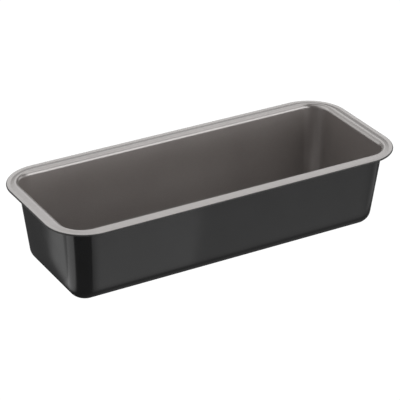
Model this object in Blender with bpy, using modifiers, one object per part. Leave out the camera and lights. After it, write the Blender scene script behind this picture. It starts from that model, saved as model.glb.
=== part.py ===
"""Long loaf pan, drawn from one blank of steel sheet.

The sheet runs from the flat base through a rounded base edge into four leaning walls, rolls over a
shoulder at the top into a flange that falls away outwards, and ends in a flat hem folded under the edge.
A grey non-stick coat covers the inside, the flange and the outside of the hem, and a black enamel coat
covers the outside up to the hem.

Metres, +Z up. The origin is the middle of the base, on the surface that the pan stands on. X runs along
the pan. The steel and both coats follow one cross-section, each at its own depth in the sheet.
"""
from collections import namedtuple
from math import cos, radians, sin, tan

import bmesh
import bpy

MM = 0.001

# Driving dimensions, measured over the coats.
LENGTH = 310.0 * MM
WIDTH = 130.4 * MM
HEIGHT = 69.5 * MM
OVERHANG = 10.9 * MM            # from the rim's edge in to the wall's outer face, at OVERHANG_LEVEL
OVERHANG_LEVEL = 67.3 * MM
END_DRAFT = radians(5.9)        # how far the end walls lean outwards
SIDE_DRAFT = radians(6.7)       # how far the long walls lean outwards
BASE_EDGE_RADIUS = 12.0 * MM    # outer face, base to wall
SHOULDER_RADIUS = 4.0 * MM      # inner face, wall to flange
RIM_CORNER_RADIUS = 34.0 * MM
WALL_TOP_CORNER_RADIUS = 17.5 * MM
WALL_FOOT_CORNER_RADIUS = 14.5 * MM

# The flange and its hem.
FLANGE_FALL = radians(10.0)     # slope of the flange, down towards the edge
BEAD_RISE = radians(6.0)        # slope out of the groove, up to the folded edge
GROOVE_INSET = 3.3 * MM         # bottom of the groove beside the hem, from the rim's edge
GROOVE_RADIUS = 2.5 * MM
HEM_WIDTH = 3.0 * MM
HEM_GAP = 0.3 * MM              # between the two leaves of the hem

# Layers of the sheet.
STEEL_THICKNESS = 0.5 * MM
COAT_THICKNESS = 0.1 * MM
COAT_GAP = 0.1 * MM             # clearance between a coat and the steel

# Facets along the curved stretches.
CORNER_STEPS = 8
BASE_EDGE_STEPS = 5
SHOULDER_STEPS = 5
GROOVE_STEPS = 2
FOLD_STEPS = 6

# Depths in the sheet, from its middle. Positive is towards the inside of the pan.
COAT_DEPTH = STEEL_THICKNESS / 2 + COAT_GAP + COAT_THICKNESS / 2
FACE_DEPTH = STEEL_THICKNESS / 2 + COAT_GAP + COAT_THICKNESS

MEAN_DRAFT = (END_DRAFT + SIDE_DRAFT) / 2
FOLD_RADIUS = (STEEL_THICKNESS + HEM_GAP) / 2       # middle of the sheet

# One station of the cross-section, at the middle of the sheet: insets from the rim's edge on the ends and
# on the long sides, height, corner radius, and the angle of the sheet's inner normal above the inward
# horizontal.
Station = namedtuple("Station", "end_inset side_inset z corner normal")


def arc_angles(start, end, steps):
    """Evenly spaced angles from start to end, both included."""
    return [start + (end - start) * i / steps for i in range(steps + 1)]


def wall_inset(draft, z):
    """Inset of the middle of the sheet on a straight wall at height z."""
    return OVERHANG + (OVERHANG_LEVEL - z) * tan(draft) + FACE_DEPTH / cos(draft)


def rim_corner(inset):
    """Corner radius on the rim: concentric across the hem, then tightening towards the walls' radius."""
    hem_corner = RIM_CORNER_RADIUS - GROOVE_INSET
    if inset <= GROOVE_INSET:
        return RIM_CORNER_RADIUS - inset
    wall_corner = WALL_TOP_CORNER_RADIUS - FACE_DEPTH
    across = (inset - GROOVE_INSET) / (OVERHANG + FACE_DEPTH - GROOVE_INSET)
    return hem_corner + (wall_corner - hem_corner) * across


def rim_station(inset, z, normal):
    """A station on the rim, where the ends and the long sides share one section."""
    return Station(inset, inset, z, rim_corner(inset), normal)


def base_edge_stations():
    """From the flat base, around the base edge, to the foot of the walls."""
    radius = BASE_EDGE_RADIUS - FACE_DEPTH
    foot_z = BASE_EDGE_RADIUS - radius * sin(MEAN_DRAFT)
    stations = []
    for angle in arc_angles(radians(90), MEAN_DRAFT, BASE_EDGE_STEPS):
        run_in = radius * (cos(MEAN_DRAFT) - cos(angle))
        stations.append(Station(wall_inset(END_DRAFT, foot_z) + run_in,
                                wall_inset(SIDE_DRAFT, foot_z) + run_in,
                                BASE_EDGE_RADIUS - radius * sin(angle),
                                WALL_FOOT_CORNER_RADIUS - FACE_DEPTH - run_in,
                                angle))
    return stations


def shoulder_stations():
    """Over the shoulder, from the top of the walls to the start of the flange."""
    radius = SHOULDER_RADIUS - FACE_DEPTH
    centre_z = HEIGHT - SHOULDER_RADIUS
    top_z = centre_z + radius * sin(MEAN_DRAFT)
    centre_inset = wall_inset(MEAN_DRAFT, top_z) - radius * cos(MEAN_DRAFT)
    angles = arc_angles(MEAN_DRAFT, radians(90), SHOULDER_STEPS) + [radians(90) + FLANGE_FALL]
    return [rim_station(centre_inset + radius * cos(angle), centre_z + radius * sin(angle), angle)
            for angle in angles]


def hem_stations(flange_start):
    """Along the falling flange, through the groove, around the fold and back under the edge."""
    radius = GROOVE_RADIUS + FACE_DEPTH
    fall_angle, rise_angle = radians(90) + FLANGE_FALL, radians(90) - BEAD_RISE
    groove_start = GROOVE_INSET + radius * sin(FLANGE_FALL)
    start_z = flange_start.z - (flange_start.end_inset - groove_start) * tan(FLANGE_FALL)
    centre_z = start_z + radius * cos(FLANGE_FALL)
    stations = [rim_station(GROOVE_INSET - radius * cos(angle), centre_z - radius * sin(angle), angle)
                for angle in arc_angles(fall_angle, rise_angle, GROOVE_STEPS)]
    fold_inset = FOLD_RADIUS + FACE_DEPTH
    groove_end = stations[-1]
    fold_start = fold_inset + FOLD_RADIUS * cos(rise_angle)
    fold_top = groove_end.z + (groove_end.end_inset - fold_start) * tan(BEAD_RISE)
    fold_z = fold_top - FOLD_RADIUS * sin(rise_angle)
    stations += [rim_station(fold_inset + FOLD_RADIUS * cos(angle), fold_z + FOLD_RADIUS * sin(angle), angle)
                 for angle in arc_angles(rise_angle, radians(270), FOLD_STEPS)]
    stations.append(rim_station(HEM_WIDTH, fold_z - FOLD_RADIUS, radians(270)))
    return stations


def at_depth(station, depth):
    """The same station on a surface parallel to the middle of the sheet."""
    inward = depth * cos(station.normal)
    return Station(station.end_inset + inward, station.side_inset + inward,
                   station.z + depth * sin(station.normal), station.corner - inward, station.normal)


def quarter_outline(station):
    """The rounded rectangle of one station, from the middle of a long side to the middle of an end."""
    half_length = LENGTH / 2 - station.end_inset
    half_width = WIDTH / 2 - station.side_inset
    centre_x, centre_y = half_length - station.corner, half_width - station.corner
    arc = [(centre_x + station.corner * cos(angle), centre_y + station.corner * sin(angle), station.z)
           for angle in arc_angles(radians(90), 0.0, CORNER_STEPS)]
    return [(0.0, half_width, station.z)] + arc + [(half_length, 0.0, station.z)]


def lofted_quarter(name, stations):
    """A quarter of the pan as an open surface: a flat floor and a loft through the stations."""
    mesh = bpy.data.meshes.new(name)
    bm = bmesh.new()
    rows = [[bm.verts.new(point) for point in quarter_outline(station)] for station in stations]
    middle = bm.verts.new((0.0, 0.0, stations[0].z))
    bm.faces.new([middle] + rows[0][::-1])
    for lower, upper in zip(rows, rows[1:]):
        for i in range(len(lower) - 1):
            bm.faces.new((lower[i], lower[i + 1], upper[i + 1], upper[i]))
    bm.to_mesh(mesh)
    bm.free()
    mesh.shade_smooth()
    return mesh


def make_material(name, colour, roughness, metallic):
    material = bpy.data.materials.new(name)
    material.use_nodes = True
    shader = material.node_tree.nodes["Principled BSDF"]
    shader.inputs["Base Color"].default_value = (*colour, 1.0)
    shader.inputs["Roughness"].default_value = roughness
    shader.inputs["Metallic"].default_value = metallic
    material.diffuse_color = (*colour, 1.0)
    return material


def add_layer(name, stations, thickness, material, collection, root):
    """One layer of the sheet: a quarter surface, mirrored to the whole pan and given its thickness."""
    layer = bpy.data.objects.new(name, lofted_quarter(name, stations))
    collection.objects.link(layer)
    layer.parent = root
    layer.data.materials.append(material)
    mirror = layer.modifiers.new("four_quarters", "MIRROR")
    mirror.use_axis = (True, True, False)
    mirror.merge_threshold = 0.01 * MM
    solidify = layer.modifiers.new("thickness", "SOLIDIFY")
    solidify.thickness = thickness
    solidify.offset = 0.0
    solidify.use_even_offset = True
    return layer


def build_pan():
    for leftover in list(bpy.data.objects):
        bpy.data.objects.remove(leftover)
    collection = bpy.data.collections.new("loaf_pan")
    bpy.context.scene.collection.children.link(collection)
    root = bpy.data.objects.new("loaf_pan_root", None)
    collection.objects.link(root)

    shoulder = shoulder_stations()
    body = base_edge_stations() + shoulder
    whole = body + hem_stations(shoulder[-1])
    under_flange = rim_station(HEM_WIDTH + COAT_GAP + COAT_THICKNESS,
                               shoulder[-1].z - (shoulder[-1].end_inset - HEM_WIDTH) * tan(FLANGE_FALL),
                               shoulder[-1].normal)
    outside = body + [under_flange]

    steel = make_material("bare_steel", (0.45, 0.45, 0.46), 0.35, 1.0)
    grey_coat = make_material("grey_nonstick", (0.30, 0.285, 0.27), 0.38, 0.6)
    black_coat = make_material("black_enamel", (0.012, 0.012, 0.013), 0.18, 0.0)
    add_layer("steel_shell", whole, STEEL_THICKNESS, steel, collection, root)
    add_layer("nonstick_lining", [at_depth(s, COAT_DEPTH) for s in whole], COAT_THICKNESS,
              grey_coat, collection, root)
    add_layer("exterior_enamel", [at_depth(s, -COAT_DEPTH) for s in outside], COAT_THICKNESS,
              black_coat, collection, root)


build_pan()
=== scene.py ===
"""Looks of the long loaf pan: fine meshes of the sheet and its two coats, their materials, and a studio.

Metres, +Z up. The pan stands on z = 0, with its length along X, as in its CAD.
"""
from collections import namedtuple
from math import cos, radians, sin, tan

import bmesh
import bpy
from mathutils import Matrix, Vector


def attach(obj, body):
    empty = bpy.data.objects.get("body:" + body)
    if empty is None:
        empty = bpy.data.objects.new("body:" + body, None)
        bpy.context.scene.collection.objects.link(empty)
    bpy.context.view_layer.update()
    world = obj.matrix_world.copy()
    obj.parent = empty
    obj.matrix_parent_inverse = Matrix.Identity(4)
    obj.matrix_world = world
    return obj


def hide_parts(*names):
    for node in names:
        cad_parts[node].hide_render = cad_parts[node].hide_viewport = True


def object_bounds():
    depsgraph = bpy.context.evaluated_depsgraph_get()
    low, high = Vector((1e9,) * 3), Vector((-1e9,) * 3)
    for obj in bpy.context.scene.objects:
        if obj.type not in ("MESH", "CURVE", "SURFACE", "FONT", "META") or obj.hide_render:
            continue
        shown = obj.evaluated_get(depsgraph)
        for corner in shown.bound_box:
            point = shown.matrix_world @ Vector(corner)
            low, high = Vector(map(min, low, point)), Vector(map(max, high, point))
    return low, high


MM = 0.001

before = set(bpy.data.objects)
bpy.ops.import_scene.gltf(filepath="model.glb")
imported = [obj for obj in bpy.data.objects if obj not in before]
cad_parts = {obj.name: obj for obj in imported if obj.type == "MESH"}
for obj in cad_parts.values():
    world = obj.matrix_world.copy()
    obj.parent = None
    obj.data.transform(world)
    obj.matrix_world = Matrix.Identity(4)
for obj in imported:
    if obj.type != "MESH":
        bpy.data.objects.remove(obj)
cad_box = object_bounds()
HALF_LENGTH, HALF_WIDTH, HEIGHT = cad_box[1]

# The pan's section, as in its CAD.
OVERHANG = 10.9 * MM            # from the rim's edge in to the wall's outer face, at OVERHANG_LEVEL
OVERHANG_LEVEL = 67.3 * MM
END_DRAFT = radians(5.9)        # how far the end walls lean outwards
SIDE_DRAFT = radians(6.7)       # how far the long walls lean outwards
BASE_EDGE_RADIUS = 12.0 * MM    # outer face, base to wall
SHOULDER_RADIUS = 4.0 * MM      # inner face, wall to flange
RIM_CORNER_RADIUS = 34.0 * MM
WALL_TOP_CORNER_RADIUS = 17.5 * MM
WALL_FOOT_CORNER_RADIUS = 14.5 * MM
FLANGE_FALL = radians(10.0)     # slope of the flange, down towards the edge
BEAD_RISE = radians(6.0)        # slope out of the groove, up to the folded edge
GROOVE_INSET = 3.3 * MM         # bottom of the groove beside the hem, from the rim's edge
GROOVE_RADIUS = 2.5 * MM
HEM_WIDTH = 3.0 * MM
HEM_GAP = 0.3 * MM              # between the two leaves of the hem
STEEL_THICKNESS = 0.5 * MM
COAT_THICKNESS = 0.1 * MM
COAT_GAP = 0.1 * MM             # clearance between a coat and the steel
FOLD_SHADE_EDGE = radians(102)        # past this normal, on the fold, the non-stick coat has painted shade: darker, and duller

# Colours, from their darker to their lighter shade.
NONSTICK_COLOURS = (0.152, 0.134, 0.126), (0.172, 0.153, 0.143)
NONSTICK_GLINT = (0.34, 0.31, 0.29)
# painted shade: the darker colours of the non-stick coat on its fold
FOLD_PAINTED_SHADE_COLOURS = (0.012, 0.0115, 0.011), (0.020, 0.019, 0.018)
ENAMEL_COLOURS = (0.006, 0.006, 0.0062), (0.009, 0.009, 0.0093)
STEEL_COLOURS = (0.42, 0.42, 0.43), (0.58, 0.58, 0.59)

# Roughness, from the smoothest to the dullest patches.
NONSTICK_ROUGHNESS = 0.35, 0.41
FOLD_ROUGHNESS = 0.45, 0.55
ENAMEL_ROUGHNESS = 0.13, 0.19
STEEL_ROUGHNESS = 0.3, 0.42

# Sizes of the finishes' features. The coat's grain and the steel's brushing are longer along the pan.
COAT_GRAIN = 0.6 * MM
COAT_GRAIN_STRETCH = (4, 1, 1)
COAT_CLOUDS = 45 * MM
COAT_DULL_PATCHES = 6 * MM
COAT_PITTING = 0.8 * MM
ENAMEL_CLOUDS = 30 * MM
ENAMEL_DULL_PATCHES = 9 * MM
ORANGE_PEEL = 3.5 * MM
BRUSHING = 0.3 * MM
BRUSHING_STRETCH = (60, 1, 1)
STEEL_DULL_PATCHES = 4 * MM

# Depths of their relief.
COAT_PITTING_DEPTH = 0.006 * MM
FOLD_GRAIN_DEPTH = 0.004 * MM
ORANGE_PEEL_DEPTH = 0.008 * MM
BRUSHING_DEPTH = 0.004 * MM

GLINT_SHARE = 0.07                      # of the glint colour, where the coat's grain is brightest
NOISE_LOW, NOISE_HIGH = 0.3, 0.7        # most of a noise texture's values lie between these

# The camera: angles around and above the pan's front, distances in metres, optics in millimetres.
CAMERA_AZIMUTH = radians(-29.55)
CAMERA_ELEVATION = radians(27.46)
CAMERA_ROLL = radians(-0.04)
CAMERA_DISTANCE = 1.552
AIM_HEIGHT = 35.0 * MM
SHIFT_RIGHT = -2.6 * MM
SHIFT_UP = 0.7 * MM
LENS = 173.0
SENSOR_WIDTH = 36.0
CLIP_START, CLIP_END = 0.05, 50.0

# The studio's soft lights, far away: name, azimuth, elevation and half-width in degrees, and strength.
LIGHTS = (
    ("right_low", 0, 4, 19, 1.5),
    ("back_low", 80, 8, 24, 0.4),
    ("left_low", 165, 12, 34, 1.25),
    ("front_high", 290, 5, 32, 3.0),
    ("back_right", 55, 45, 25, 1.5),
    ("back_left", 132, 38, 26, 1.2),
    ("left_high", 195, 56, 24, 1.3),
    ("key", 340, 60, 18, 2.2),
    ("key_low", 302, 32, 18, 0.6),
)
LIGHT_CORE, LIGHT_EDGE = 0.65, 1.35     # of the half-width: full light within the core, none past the edge

# Soft pale cards on the floor, seen only in reflections: name, strength, softness of the edge, and the
# corners anticlockwise, in metres.
CARDS = (
    ("front", 0.53, 0.012, ((-0.1175, -0.056), (-0.088, -0.125), (0.19, -0.125), (0.135, -0.056))),
    ("front_left", 0.23, 0.010, ((-0.1175, -0.056), (-0.088, -0.125), (0.018, -0.125), (-0.030, -0.056))),
    ("front_near", 0.07, 0.012, ((-0.112, -0.036), (-0.1175, -0.056), (0.135, -0.056), (0.130, -0.036))),
    ("front_right", 0.33, 0.010, ((0.135, -0.056), (0.19, -0.125), (0.30, -0.08), (0.19, -0.035))),
    ("left", 1.08, 0.010, ((-0.1445, -0.012), (-0.30, 0.024), (-0.30, -0.1005), (-0.148, -0.0405))),
    ("left_far", 0.40, 0.006, ((-0.1445, -0.012), (-0.151, 0.0275), (-0.1675, 0.0675), (-0.30, 0.33),
                               (-0.30, 0.024))),
    ("back", 0.58, 0.012, ((0.135, 0.056), (0.19, 0.125), (-0.089, 0.125), (-0.1175, 0.056))),
    ("back_near", 0.12, 0.012, ((0.130, 0.036), (0.135, 0.056), (-0.1175, 0.056), (-0.112, 0.036))),
    ("right", 0.60, 0.020, ((0.24, -0.15), (0.40, -0.15), (0.40, 0.15), (0.24, 0.15))),
    ("sweep", 0.80, 0.050, ((2.0, 0.30), (2.0, 2.0), (-2.0, 2.0), (-2.0, 0.30))),
)
CARD_GLOW = 0.15                # of the floor between the cards
CARD_REACH = 2.0                # from the middle of the sheet to its sides
CARD_LEVEL = -1.0 * MM          # under the floor, which reflections don't show
# Under the pan the floor is dark in reflections.
CONTACT_SHADE = ((-0.138, -0.040), (0.138, -0.040), (0.138, 0.040), (-0.138, 0.040))
CONTACT_SOFTNESS = 0.016
FLOOR_GLOW = 1.05
FLOOR_REACH = 6.0               # from the middle of the floor to its sides
FLOOR_LEVEL = -0.2 * MM         # just clear of the pan's underside

# Facets along the curved and the straight stretches.
CORNER_STEPS = 32
SIDE_STEPS = 16
END_STEPS = 6
BASE_EDGE_STEPS = 14
WALL_STEPS = 4
SHOULDER_STEPS = 14
GROOVE_STEPS = 6
FOLD_STEPS = 18

COAT_DEPTH = STEEL_THICKNESS / 2 + COAT_GAP + COAT_THICKNESS / 2
FACE_DEPTH = STEEL_THICKNESS / 2 + COAT_GAP + COAT_THICKNESS
MEAN_DRAFT = (END_DRAFT + SIDE_DRAFT) / 2
FOLD_RADIUS = (STEEL_THICKNESS + HEM_GAP) / 2

# One station of the cross-section, at the middle of the sheet: insets from the rim's edge on the ends and
# on the long sides, height, corner radius, and the angle of the sheet's inner normal above the inward
# horizontal.
Station = namedtuple("Station", "end_inset side_inset z corner normal")


def arc_angles(start, end, steps):
    """Evenly spaced angles from start to end, both included."""
    return [start + (end - start) * i / steps for i in range(steps + 1)]


def wall_inset(draft, z):
    """Inset of the middle of the sheet on a straight wall at height z."""
    return OVERHANG + (OVERHANG_LEVEL - z) * tan(draft) + FACE_DEPTH / cos(draft)


def rim_corner(inset):
    """Corner radius on the rim: concentric across the hem, then tightening towards the walls' radius."""
    hem_corner = RIM_CORNER_RADIUS - GROOVE_INSET
    if inset <= GROOVE_INSET:
        return RIM_CORNER_RADIUS - inset
    wall_corner = WALL_TOP_CORNER_RADIUS - FACE_DEPTH
    across = (inset - GROOVE_INSET) / (OVERHANG + FACE_DEPTH - GROOVE_INSET)
    return hem_corner + (wall_corner - hem_corner) * across


def rim_station(inset, z, normal):
    """A station on the rim, where the ends and the long sides share one section."""
    return Station(inset, inset, z, rim_corner(inset), normal)


def base_edge_stations():
    """From the flat base, around the base edge, to the foot of the walls."""
    radius = BASE_EDGE_RADIUS - FACE_DEPTH
    foot_z = BASE_EDGE_RADIUS - radius * sin(MEAN_DRAFT)
    stations = []
    for angle in arc_angles(radians(90), MEAN_DRAFT, BASE_EDGE_STEPS):
        run_in = radius * (cos(MEAN_DRAFT) - cos(angle))
        stations.append(Station(wall_inset(END_DRAFT, foot_z) + run_in,
                                wall_inset(SIDE_DRAFT, foot_z) + run_in,
                                BASE_EDGE_RADIUS - radius * sin(angle),
                                WALL_FOOT_CORNER_RADIUS - FACE_DEPTH - run_in,
                                angle))
    return stations


def shoulder_stations():
    """Over the shoulder, from the top of the walls to the start of the flange."""
    radius = SHOULDER_RADIUS - FACE_DEPTH
    centre_z = HEIGHT - SHOULDER_RADIUS
    top_z = centre_z + radius * sin(MEAN_DRAFT)
    centre_inset = wall_inset(MEAN_DRAFT, top_z) - radius * cos(MEAN_DRAFT)
    angles = arc_angles(MEAN_DRAFT, radians(90) + FLANGE_FALL, SHOULDER_STEPS)
    return [rim_station(centre_inset + radius * cos(angle), centre_z + radius * sin(angle), angle)
            for angle in angles]


def wall_stations(foot, top):
    """Up the flat of the walls, between their foot and the shoulder."""
    return [Station(*(low + (high - low) * i / WALL_STEPS for low, high in zip(foot, top)))
            for i in range(1, WALL_STEPS)]


def hem_stations(flange_start):
    """Along the falling flange, through the groove, around the fold and back under the edge."""
    radius = GROOVE_RADIUS + FACE_DEPTH
    fall_angle, rise_angle = radians(90) + FLANGE_FALL, radians(90) - BEAD_RISE
    groove_start = GROOVE_INSET + radius * sin(FLANGE_FALL)
    start_z = flange_start.z - (flange_start.end_inset - groove_start) * tan(FLANGE_FALL)
    centre_z = start_z + radius * cos(FLANGE_FALL)
    stations = [rim_station(GROOVE_INSET - radius * cos(angle), centre_z - radius * sin(angle), angle)
                for angle in arc_angles(fall_angle, rise_angle, GROOVE_STEPS)]
    fold_inset = FOLD_RADIUS + FACE_DEPTH
    groove_end = stations[-1]
    fold_start = fold_inset + FOLD_RADIUS * cos(rise_angle)
    fold_top = groove_end.z + (groove_end.end_inset - fold_start) * tan(BEAD_RISE)
    fold_z = fold_top - FOLD_RADIUS * sin(rise_angle)
    stations += [rim_station(fold_inset + FOLD_RADIUS * cos(angle), fold_z + FOLD_RADIUS * sin(angle), angle)
                 for angle in arc_angles(rise_angle, radians(270), FOLD_STEPS)]
    stations.append(rim_station(HEM_WIDTH, fold_z - FOLD_RADIUS, radians(270)))
    return stations


def at_depth(station, depth):
    """The same station on a surface parallel to the middle of the sheet."""
    inward = depth * cos(station.normal)
    return Station(station.end_inset + inward, station.side_inset + inward,
                   station.z + depth * sin(station.normal), station.corner - inward, station.normal)


def outline(station):
    """The rounded rectangle of one station, anticlockwise from where the +X end meets the +Y corner."""
    half_length = HALF_LENGTH - station.end_inset
    half_width = HALF_WIDTH - station.side_inset
    centre_x, centre_y = half_length - station.corner, half_width - station.corner
    points = []
    for quarter, (side_x, side_y) in enumerate(((1, 1), (-1, 1), (-1, -1), (1, -1))):
        turn = radians(90) * quarter
        points += [Vector((side_x * centre_x + station.corner * cos(angle),
                           side_y * centre_y + station.corner * sin(angle), station.z))
                   for angle in arc_angles(turn, turn + radians(90), CORNER_STEPS)]
        last = points[-1]
        if quarter % 2 == 0:
            run, steps = Vector((-2 * side_x * centre_x, 0, 0)), SIDE_STEPS
        else:
            run, steps = Vector((0, -2 * side_y * centre_y, 0)), END_STEPS
        points += [last + run * i / steps for i in range(1, steps)]
    return points


def layer_mesh(name, stations, depth, thickness, painted_shade_on_fold):
    """One layer of the sheet as a closed mesh: its inner face, its outer face and the cut edge between.

    Where the last argument says so, the faces on the fold take the layer's second material, which paints
    shade there.
    """
    bm = bmesh.new()
    faces = []
    for face_depth in (depth + thickness / 2, depth - thickness / 2):
        faces.append([[bm.verts.new(point) for point in outline(at_depth(station, face_depth))]
                      for station in stations])
    inner, outer = faces
    bm.faces.new(inner[0])
    bm.faces.new(outer[0][::-1])
    count = len(inner[0])
    for rings, flip in ((inner, True), (outer, False), ([inner[-1], outer[-1]], True)):
        for station, lower, upper in zip(stations, rings, rings[1:]):
            for i in range(count):
                j = (i + 1) % count
                corners = (lower[i], lower[j], upper[j], upper[i])
                face = bm.faces.new(corners[::-1] if flip else corners)
                face.material_index = int(painted_shade_on_fold and station.normal > FOLD_SHADE_EDGE)
    bm.normal_update()
    for face in bm.faces:
        face.smooth = True
    for ring in (inner[-1], outer[-1]):
        for i in range(count):
            bm.edges.get((ring[i], ring[(i + 1) % count])).smooth = False
    mesh = bpy.data.meshes.new(name)
    bm.to_mesh(mesh)
    bm.free()
    return mesh


def add_layer(name, node, slot, stations, depth, thickness, *materials):
    """One layer of the sheet, shown in place of its CAD node. A second material, with painted shade, goes on
    the fold.
    """
    mesh = layer_mesh(name, stations, depth, thickness, len(materials) > 1)
    layer = bpy.data.objects.new(name, mesh)
    bpy.context.scene.collection.objects.link(layer)
    for material in materials:
        layer.data.materials.append(material)
    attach(layer, "root")
    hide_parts(node)


def new_material(name):
    """A material, its node tree and shader, and the coordinates in metres that its textures follow."""
    material = bpy.data.materials.new(name)
    material.use_nodes = True
    tree = material.node_tree
    coordinates = tree.nodes.new("ShaderNodeTexCoord")
    return material, tree, tree.nodes["Principled BSDF"], coordinates.outputs["Object"]


def noise(tree, position, grain, detail=2.0, stretch=(1, 1, 1)):
    """Noise from 0 to 1 with features about as large as grain, and longer where it is stretched."""
    scaled = tree.nodes.new("ShaderNodeMapping")
    scaled.inputs["Scale"].default_value = [1 / (grain * factor) for factor in stretch]
    tree.links.new(position, scaled.inputs["Vector"])
    texture = tree.nodes.new("ShaderNodeTexNoise")
    texture.inputs["Scale"].default_value = 1.0
    texture.inputs["Detail"].default_value = detail
    tree.links.new(scaled.outputs["Vector"], texture.inputs["Vector"])
    return texture.outputs["Fac"]


def spread(tree, value, low, high):
    """The value, spread from low to high over the middle of its range."""
    spread_out = tree.nodes.new("ShaderNodeMapRange")
    spread_out.inputs["From Min"].default_value = NOISE_LOW
    spread_out.inputs["From Max"].default_value = NOISE_HIGH
    spread_out.inputs["To Min"].default_value = low
    spread_out.inputs["To Max"].default_value = high
    tree.links.new(value, spread_out.inputs["Value"])
    return spread_out.outputs["Result"]


def blend_colours(tree, amount, first, second):
    """A blend of two colours, each a tuple or another node's output."""
    mix = tree.nodes.new("ShaderNodeMix")
    mix.data_type = "RGBA"
    tree.links.new(amount, mix.inputs["Factor"])
    for socket, colour in zip((mix.inputs["A"], mix.inputs["B"]), (first, second)):
        if isinstance(colour, tuple):
            socket.default_value = (*colour, 1.0)
        else:
            tree.links.new(colour, socket)
    return mix.outputs["Result"]


def bump(tree, shader, height, depth):
    """Relief of the given depth, as height goes from 0 to 1."""
    relief = tree.nodes.new("ShaderNodeBump")
    relief.inputs["Strength"].default_value = 1.0
    relief.inputs["Distance"].default_value = depth
    tree.links.new(height, relief.inputs["Height"])
    tree.links.new(relief.outputs["Normal"], shader.inputs["Normal"])


def nonstick_material():
    """Satin pewter: a warm grey with a fine metallic grain and faint clouding."""
    material, tree, shader, position = new_material("satin_pewter_coat")
    grain = noise(tree, position, COAT_GRAIN, detail=3.0, stretch=COAT_GRAIN_STRETCH)
    clouds = noise(tree, position, COAT_CLOUDS)
    cloudy = blend_colours(tree, spread(tree, clouds, 0.0, 1.0), *NONSTICK_COLOURS)
    colour = blend_colours(tree, spread(tree, grain, 0.0, GLINT_SHARE), cloudy, NONSTICK_GLINT)
    tree.links.new(colour, shader.inputs["Base Color"])
    dullness = spread(tree, noise(tree, position, COAT_DULL_PATCHES), *NONSTICK_ROUGHNESS)
    tree.links.new(dullness, shader.inputs["Roughness"])
    shader.inputs["Metallic"].default_value = 0.4
    shader.inputs["Coat Weight"].default_value = 1.0
    shader.inputs["Coat Roughness"].default_value = 0.25
    shader.inputs["Coat IOR"].default_value = 2.0
    shader.inputs["IOR"].default_value = 1.8
    bump(tree, shader, noise(tree, position, COAT_PITTING), COAT_PITTING_DEPTH)
    return material


def painted_shade_fold_material():
    """The same coat on the fold, painted darker as painted shade, and duller."""
    material, tree, shader, position = new_material("fold_painted_shade_coat")
    grain = noise(tree, position, COAT_GRAIN, detail=3.0, stretch=COAT_GRAIN_STRETCH)
    tree.links.new(blend_colours(tree, grain, *FOLD_PAINTED_SHADE_COLOURS), shader.inputs["Base Color"])
    dullness = spread(tree, noise(tree, position, COAT_DULL_PATCHES), *FOLD_ROUGHNESS)
    tree.links.new(dullness, shader.inputs["Roughness"])
    bump(tree, shader, grain, FOLD_GRAIN_DEPTH)
    return material


def enamel_material():
    """Gloss black with a slight orange peel."""
    material, tree, shader, position = new_material("gloss_black_enamel")
    clouds = spread(tree, noise(tree, position, ENAMEL_CLOUDS), 0.0, 1.0)
    tree.links.new(blend_colours(tree, clouds, *ENAMEL_COLOURS), shader.inputs["Base Color"])
    dullness = spread(tree, noise(tree, position, ENAMEL_DULL_PATCHES, detail=4.0), *ENAMEL_ROUGHNESS)
    tree.links.new(dullness, shader.inputs["Roughness"])
    bump(tree, shader, noise(tree, position, ORANGE_PEEL), ORANGE_PEEL_DEPTH)
    return material


def steel_material():
    """Cold-rolled sheet, brushed along the pan."""
    material, tree, shader, position = new_material("cold_rolled_steel")
    brushing = noise(tree, position, BRUSHING, detail=3.0, stretch=BRUSHING_STRETCH)
    streaks = spread(tree, brushing, 0.0, 1.0)
    tree.links.new(blend_colours(tree, streaks, *STEEL_COLOURS), shader.inputs["Base Color"])
    dullness = spread(tree, noise(tree, position, STEEL_DULL_PATCHES), *STEEL_ROUGHNESS)
    tree.links.new(dullness, shader.inputs["Roughness"])
    shader.inputs["Metallic"].default_value = 1.0
    bump(tree, shader, streaks, BRUSHING_DEPTH)
    return material


def place_camera():
    """A camera at the photograph's angle, aimed near the middle of the pan."""
    back = Vector((sin(CAMERA_AZIMUTH) * cos(CAMERA_ELEVATION),
                   -cos(CAMERA_AZIMUTH) * cos(CAMERA_ELEVATION), sin(CAMERA_ELEVATION)))
    level = Vector((cos(CAMERA_AZIMUTH), sin(CAMERA_AZIMUTH), 0))
    upright = back.cross(level)
    right = level * cos(CAMERA_ROLL) + upright * sin(CAMERA_ROLL)
    up = upright * cos(CAMERA_ROLL) - level * sin(CAMERA_ROLL)
    place = Vector((0, 0, AIM_HEIGHT)) + back * CAMERA_DISTANCE + right * SHIFT_RIGHT + up * SHIFT_UP
    camera = bpy.data.objects.new("camera", bpy.data.cameras.new("camera"))
    bpy.context.scene.collection.objects.link(camera)
    camera.matrix_world = Matrix.Translation(place) @ Matrix((right, up, back)).transposed().to_4x4()
    camera.data.sensor_width = SENSOR_WIDTH
    camera.data.lens = LENS
    camera.data.clip_start, camera.data.clip_end = CLIP_START, CLIP_END
    bpy.context.scene.camera = camera


def square(name, reach, z):
    """A flat square sheet of the stage, centred on the pan."""
    mesh = bpy.data.meshes.new(name)
    mesh.from_pydata([(-reach, -reach, z), (reach, -reach, z), (reach, reach, z), (-reach, reach, z)],
                     [], [(0, 1, 2, 3)])
    sheet = bpy.data.objects.new(name, mesh)
    bpy.context.scene.collection.objects.link(sheet)
    return sheet


def new_tree(name):
    """A material's empty node tree with its output."""
    material = bpy.data.materials.new(name)
    material.use_nodes = True
    tree = material.node_tree
    tree.nodes.clear()
    return material, tree, tree.nodes.new("ShaderNodeOutputMaterial")


def math_node(tree, operation, first, second, label=""):
    """The result of one operation on two values, each a number or another node's output."""
    node = tree.nodes.new("ShaderNodeMath")
    node.label = label
    node.operation = operation
    for socket, value in zip(node.inputs, (first, second)):
        if isinstance(value, (int, float)):
            socket.default_value = value
        else:
            tree.links.new(value, socket)
    return node.outputs[0]


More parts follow.
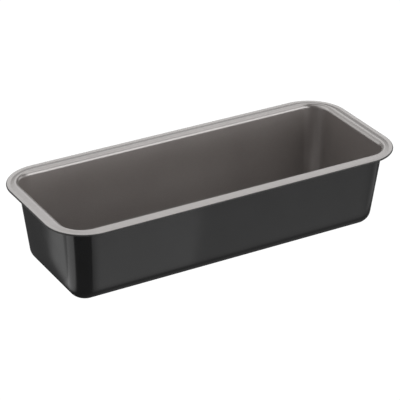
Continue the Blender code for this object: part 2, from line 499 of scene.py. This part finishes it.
def soft_step(tree, vector, direction, low, high):
    """0 where the vector reaches less than low along a direction, 1 past high, and a smooth rise between."""
    reach = tree.nodes.new("ShaderNodeVectorMath")
    reach.operation = "DOT_PRODUCT"
    tree.links.new(vector, reach.inputs[0])
    reach.inputs[1].default_value = direction
    rise = tree.nodes.new("ShaderNodeMapRange")
    rise.interpolation_type = "SMOOTHSTEP"
    tree.links.new(reach.outputs["Value"], rise.inputs["Value"])
    rise.inputs["From Min"].default_value = low
    rise.inputs["From Max"].default_value = high
    return rise.outputs["Result"]


def soft_polygon(tree, position, corners, softness):
    """1 inside a convex polygon on the floor, listed anticlockwise, fading to 0 across its edges."""
    inside = 1.0
    for (x0, y0), (x1, y1) in zip(corners, corners[1:] + corners[:1]):
        inward = Vector((y0 - y1, x1 - x0, 0)).normalized()
        start = inward.x * x0 + inward.y * y0
        edge = soft_step(tree, position, inward, start - softness / 2, start + softness / 2)
        inside = math_node(tree, "MULTIPLY", edge, inside)
    return inside


def make_floor():
    """The plain white floor. It isn't seen in reflections; the cards are seen there in its place."""
    floor = square("floor", FLOOR_REACH, FLOOR_LEVEL)
    floor.visible_glossy = floor.visible_diffuse = False
    material, tree, output = new_tree("white_floor")
    glow = tree.nodes.new("ShaderNodeEmission")
    glow.inputs["Strength"].default_value = FLOOR_GLOW
    tree.links.new(glow.outputs[0], output.inputs["Surface"])
    floor.data.materials.append(material)


def make_cards():
    """One sheet just under the floor that glows as the floor's cards do, and is dark under the pan."""
    sheet = square("reflection_card", CARD_REACH, CARD_LEVEL)
    sheet.visible_camera = sheet.visible_transmission = sheet.visible_shadow = False
    material, tree, output = new_tree("reflection_card")
    position = tree.nodes.new("ShaderNodeTexCoord").outputs["Object"]
    total = CARD_GLOW
    for name, strength, softness, corners in CARDS:
        inside = soft_polygon(tree, position, corners, softness)
        total = math_node(tree, "ADD", math_node(tree, "MULTIPLY", inside, strength, name), total)
    shade = soft_polygon(tree, position, CONTACT_SHADE, CONTACT_SOFTNESS)
    total = math_node(tree, "MULTIPLY", total, math_node(tree, "SUBTRACT", 1.0, shade))
    glow = tree.nodes.new("ShaderNodeEmission")
    tree.links.new(total, glow.inputs["Strength"])
    tree.links.new(glow.outputs[0], output.inputs["Surface"])
    sheet.data.materials.append(material)


def make_lights():
    """The studio's soft lights, as round glows in the world."""
    world = bpy.data.worlds.new("studio")
    bpy.context.scene.world = world
    world.use_nodes = True
    tree = world.node_tree
    direction = tree.nodes.new("ShaderNodeTexCoord").outputs["Generated"]
    total = 0.0
    for name, azimuth, elevation, half_width, strength in LIGHTS:
        aim = Vector((cos(radians(elevation)), 0, sin(radians(elevation))))
        aim.rotate(Matrix.Rotation(radians(azimuth), 3, "Z"))
        none, full = cos(radians(LIGHT_EDGE * half_width)), cos(radians(LIGHT_CORE * half_width))
        light = math_node(tree, "MULTIPLY", soft_step(tree, direction, aim, none, full), strength, name)
        total = math_node(tree, "ADD", light, total)
    background = tree.nodes["Background"]
    background.inputs["Color"].default_value = (1, 1, 1, 1)
    tree.links.new(total, background.inputs["Strength"])


body = base_edge_stations()
shoulder = shoulder_stations()
body += wall_stations(body[-1], shoulder[0]) + shoulder
whole = body + hem_stations(shoulder[-1])
under_flange = rim_station(HEM_WIDTH + COAT_GAP + COAT_THICKNESS,
                           shoulder[-1].z - (shoulder[-1].end_inset - HEM_WIDTH) * tan(FLANGE_FALL),
                           shoulder[-1].normal)
add_layer("steel_sheet", "steel_shell", "bare_steel", whole, 0.0, STEEL_THICKNESS, steel_material())
# the non-stick coat's fold takes the painted shade material
add_layer("nonstick_coat", "nonstick_lining", "grey_nonstick", whole, COAT_DEPTH, COAT_THICKNESS,
          nonstick_material(), painted_shade_fold_material())
add_layer("enamel_coat", "exterior_enamel", "black_enamel", body + [under_flange], -COAT_DEPTH,
          COAT_THICKNESS, enamel_material())

place_camera()
make_floor()
make_cards()
make_lights()
bpy.context.scene.view_settings.view_transform = "Standard"
